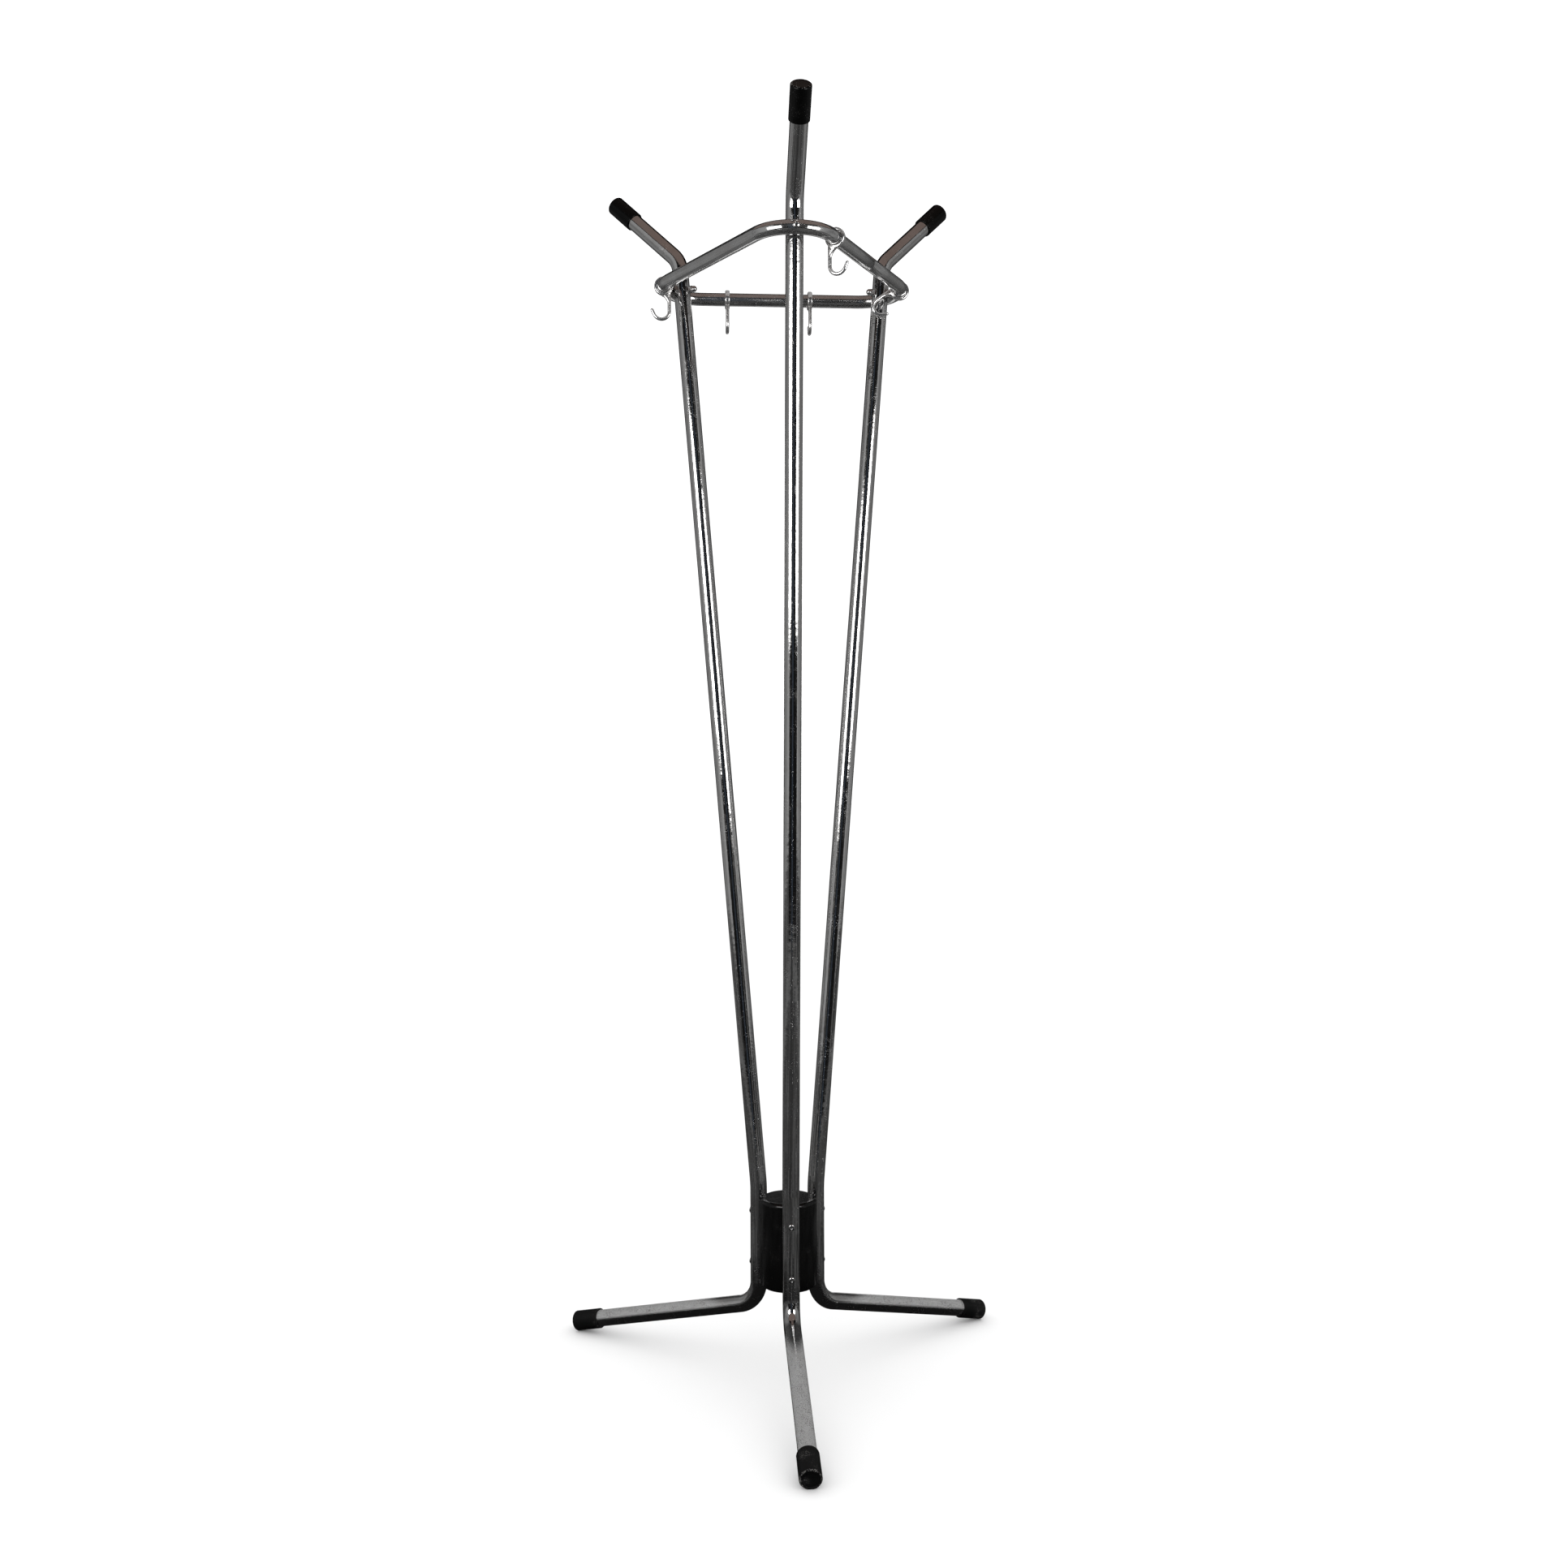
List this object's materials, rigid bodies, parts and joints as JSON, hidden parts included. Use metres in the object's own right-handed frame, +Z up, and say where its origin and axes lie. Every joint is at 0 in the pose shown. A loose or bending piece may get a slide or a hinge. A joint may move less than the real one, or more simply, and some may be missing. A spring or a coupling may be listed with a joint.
{
  "type": "coat stand",
  "caption": "Three-leg coat stand of bent chromed tube with a black hub, a rounded-triangle rail and hooks that swing on it.",
  "frame": {"origin": "on the hub's axis at floor level, the middle of the three feet", "axes": "+Z up along the hub's axis; the front leg points along -Y, the other two along 30 and 150 degrees from +X"},
  "size_m": [0.6614, 0.5755, 1.7822],
  "materials": {
    "leg_chrome": "polished, slightly worn",
    "hub_black": "gloss",
    "fastener_chrome": "polished",
    "insert_brass": "machined",
    "rail_chrome": "polished, slightly worn",
    "sleeve_steel": "plain",
    "arm_cap_black": "semi-gloss",
    "foot_rubber": "satin",
    "hook_chrome": "bright"
  },
  "bodies": {
    "stand": {"leg_front": "leg_chrome", "leg_left": "leg_chrome", "leg_right": "leg_chrome", "hub_body": "hub_black", "hub_screws_front": "fastener_chrome", "hub_screws_left": "fastener_chrome", "hub_screws_right": "fastener_chrome", "hub_inserts_front": "insert_brass", "hub_inserts_left": "insert_brass", "hub_inserts_right": "insert_brass", "hanger_ring": "rail_chrome", "ring_sleeve": "sleeve_steel", "ring_bolt_front": "fastener_chrome", "ring_bolt_left": "fastener_chrome", "ring_bolt_right": "fastener_chrome", "ring_nut_front": "fastener_chrome", "ring_nut_left": "fastener_chrome", "ring_nut_right": "fastener_chrome", "arm_cap_front": "arm_cap_black", "arm_cap_left": "arm_cap_black", "arm_cap_right": "arm_cap_black", "foot_cap_front": "foot_rubber", "foot_cap_left": "foot_rubber", "foot_cap_right": "foot_rubber"},
    "hook_right_run": {"hook_right_run": "hook_chrome"},
    "hook_right_corner": {"hook_right_corner": "hook_chrome"},
    "hook_back_right": {"hook_back_right": "hook_chrome"},
    "hook_back_left": {"hook_back_left": "hook_chrome"},
    "hook_left_corner": {"hook_left_corner": "hook_chrome"}
  },
  "joints": [
    {"name": "hook_right_run_swing", "type": "hinge", "parent": "stand", "child": "hook_right_run", "pos_m": [0.05765, -0.15915, 1.622], "axis": [0.5, 0.866, 0], "continuous": true},
    {"name": "hook_right_corner_swing", "type": "hinge", "parent": "stand", "child": "hook_right_corner", "pos_m": [0.18038, 0.0695, 1.622], "axis": [0, 1, 0], "continuous": true},
    {"name": "hook_back_right_swing", "type": "hinge", "parent": "stand", "child": "hook_back_right", "pos_m": [0.047, 0.1295, 1.622], "axis": [-1, 0, 0], "continuous": true},
    {"name": "hook_back_left_swing", "type": "hinge", "parent": "stand", "child": "hook_back_left", "pos_m": [-0.082, 0.1295, 1.622], "axis": [-1, 0, 0], "continuous": true},
    {"name": "hook_left_corner_swing", "type": "hinge", "parent": "stand", "child": "hook_left_corner", "pos_m": [-0.18034, 0.06741, 1.622], "axis": [0.0349, -0.9994, 0], "continuous": true}
  ]
}
